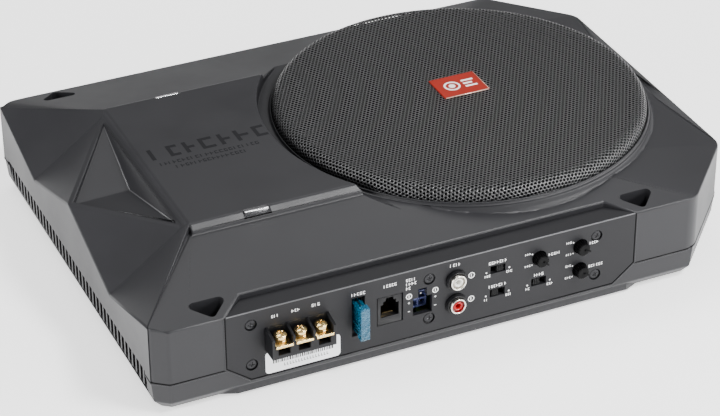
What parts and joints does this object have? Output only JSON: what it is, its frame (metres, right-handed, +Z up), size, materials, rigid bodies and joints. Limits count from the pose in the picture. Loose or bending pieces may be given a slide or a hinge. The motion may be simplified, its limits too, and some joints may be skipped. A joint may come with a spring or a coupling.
{
  "type": "powered car subwoofer",
  "caption": "Low cast case with a round perforated speaker grille on top, a faceted vented end, and a side panel with power terminals, fuse, inputs, switches and level knobs.",
  "frame": {"origin": "centre of the case footprint, on the surface the feet stand on", "axes": "+X along the case towards the woofer, -Y out of the control panel, +Z up through the grille"},
  "size_m": [0.345, 0.2608, 0.07],
  "materials": {
    "case_paint": "satin, fine texture",
    "tray_paint": "satin, fine texture",
    "panel_paint": "satin",
    "grille_steel": "satin",
    "badge_red": "satin",
    "clip_steel": "satin",
    "vent_black": "matt",
    "screw_steel": "satin",
    "foot_rubber": "matt",
    "basket_steel": "satin",
    "gasket_foam": "matt",
    "motor_steel": "satin",
    "ferrite": "matt",
    "cone_paper": "matt",
    "coil_copper": "satin",
    "spider_cloth": "matt",
    "tab_brass": "satin",
    "lead_red": "satin",
    "divider_board": "matt",
    "board_green": "satin",
    "label_white": "satin",
    "block_black": "satin",
    "clamp_gold": "satin",
    "terminal_gold": "polished",
    "fuse_blue": "translucent",
    "fuse_zinc": "satin",
    "contact_gold": "polished",
    "socket_violet": "translucent",
    "rca_nickel": "polished",
    "rca_white": "satin",
    "rca_red": "satin",
    "slider_black": "satin",
    "knob_black": "satin",
    "link_ribbon": "satin",
    "sink_aluminium": "satin",
    "transistor_epoxy": "satin",
    "can_blue": "satin",
    "toroid_copper": "satin"
  },
  "bodies": {
    "housing": {"top_lid": "case_paint", "bottom_tray": "tray_paint", "case_screws": "screw_steel", "rubber_feet": "foot_rubber", "deck_clips": "clip_steel", "vent_louvre": "vent_black", "speaker_grille": "grille_steel", "grille_badge": "badge_red", "woofer_basket": "basket_steel", "basket_gasket": "gasket_foam", "woofer_screws": "screw_steel", "back_plate": "motor_steel", "ring_magnet": "ferrite", "top_plate": "motor_steel", "surround": "gasket_foam", "spider": "spider_cloth", "speaker_tabs": "tab_brass", "speaker_leads": "lead_red", "chamber_divider": "divider_board", "control_panel": "panel_paint", "panel_screws": "screw_steel", "panel_posts": "tab_brass", "control_board": "board_green", "serial_label": "label_white", "terminal_block": "block_black", "clamp_battery": "clamp_gold", "clamp_remote": "clamp_gold", "clamp_ground": "clamp_gold", "fuse_holder": "block_black", "remote_jack": "block_black", "jack_contacts": "contact_gold", "high_level_socket": "socket_violet", "high_level_pins": "fuse_zinc", "rca_housing": "block_black", "rca_barrels": "rca_nickel", "rca_insert_left": "rca_white", "rca_insert_right": "rca_red", "switch_housings": "block_black", "pot_bodies": "block_black", "amp_board": "board_green", "board_link": "link_ribbon", "heat_sink": "sink_aluminium", "output_transistors": "transistor_epoxy", "filter_capacitors": "can_blue", "toroid_transformer": "toroid_copper"},
    "cone_assembly": {"woofer_cone": "cone_paper", "dust_cap": "cone_paper", "voice_coil": "coil_copper"},
    "crossover_dial": {"crossover_knob": "knob_black"},
    "level_dial": {"level_knob": "knob_black"},
    "boost_dial": {"boost_knob": "knob_black"},
    "sense_switch": {"sense_slider": "slider_black"},
    "load_switch": {"load_slider": "slider_black"},
    "phase_switch": {"phase_slider": "slider_black"},
    "fuse": {"fuse_body": "fuse_blue", "fuse_blades": "fuse_zinc"},
    "battery_screw": {"screw_battery": "terminal_gold"},
    "remote_screw": {"screw_remote": "terminal_gold"},
    "ground_screw": {"screw_ground": "terminal_gold"}
  },
  "joints": [
    {"name": "cone_excursion", "type": "slide", "parent": "housing", "child": "cone_assembly", "axis": [0, 0, 1], "range_m": [-0.005, 0.005], "stiffness_N_per_m": 1800, "deforming": ["surround", "spider"]},
    {"name": "crossover_turn", "type": "hinge", "parent": "housing", "child": "crossover_dial", "pos_m": [0.0396, -0.125, 0.0384], "axis": [0, -1, 0], "range_deg": [-150, 150]},
    {"name": "level_turn", "type": "hinge", "parent": "housing", "child": "level_dial", "pos_m": [0.0636, -0.125, 0.039], "axis": [0, -1, 0], "range_deg": [-150, 150]},
    {"name": "boost_turn", "type": "hinge", "parent": "housing", "child": "boost_dial", "pos_m": [0.0636, -0.125, 0.0246], "axis": [0, -1, 0], "range_deg": [-150, 150]},
    {"name": "sense_slide", "type": "slide", "parent": "housing", "child": "sense_switch", "axis": [1, 0, 0], "range_m": [-0.0026, 0]},
    {"name": "load_slide", "type": "slide", "parent": "housing", "child": "load_switch", "axis": [1, 0, 0], "range_m": [0, 0.0026]},
    {"name": "phase_slide", "type": "slide", "parent": "housing", "child": "phase_switch", "axis": [1, 0, 0], "range_m": [0, 0.0026]},
    {"name": "fuse_pull", "type": "slide", "parent": "housing", "child": "fuse", "axis": [0, -1, 0], "range_m": [0, 0.016]},
    {"name": "battery_screw_turn", "type": "hinge", "parent": "housing", "child": "battery_screw", "pos_m": [-0.1073, -0.1296, 0.034], "axis": [0, 0, 1], "continuous": true},
    {"name": "remote_screw_turn", "type": "hinge", "parent": "housing", "child": "remote_screw", "pos_m": [-0.0964, -0.1296, 0.034], "axis": [0, 0, 1], "continuous": true},
    {"name": "ground_screw_turn", "type": "hinge", "parent": "housing", "child": "ground_screw", "pos_m": [-0.0855, -0.1296, 0.034], "axis": [0, 0, 1], "continuous": true}
  ]
}
